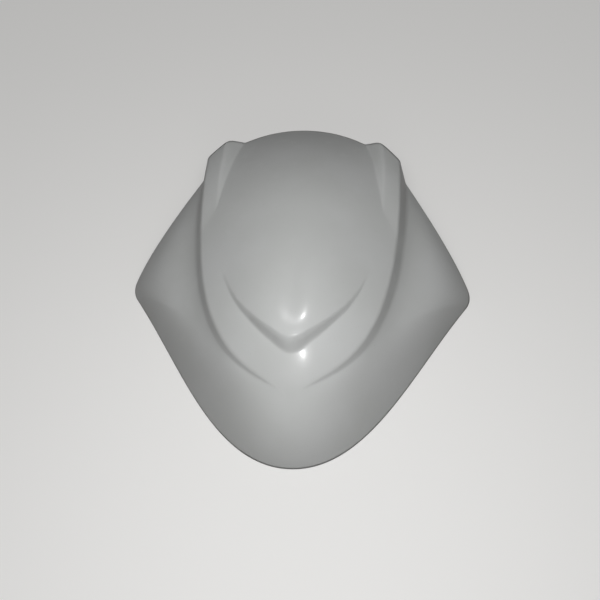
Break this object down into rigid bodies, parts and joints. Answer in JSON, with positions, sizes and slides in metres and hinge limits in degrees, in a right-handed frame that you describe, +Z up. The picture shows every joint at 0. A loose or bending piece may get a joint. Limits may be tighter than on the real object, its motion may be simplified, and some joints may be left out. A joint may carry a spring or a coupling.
{
  "type": "motorcycle headlight fairing",
  "caption": "One-piece moulded motorcycle headlight fairing with a raised domed panel, a pointed chin, two swept wings and an open top arch.",
  "frame": {"origin": "middle of the footprint, in the plane of the lower rim that the shell lies on", "axes": "+Z up out of the mouth plane through the dome, +Y from the chin to the top edge, +X across the shell"},
  "size_m": [0.4144, 0.415, 0.1425],
  "materials": {
    "gelcoat": "gloss white gelcoat over glass fibre"
  },
  "bodies": {
    "root": {"fairing_shell": "gelcoat"}
  },
  "joints": []
}
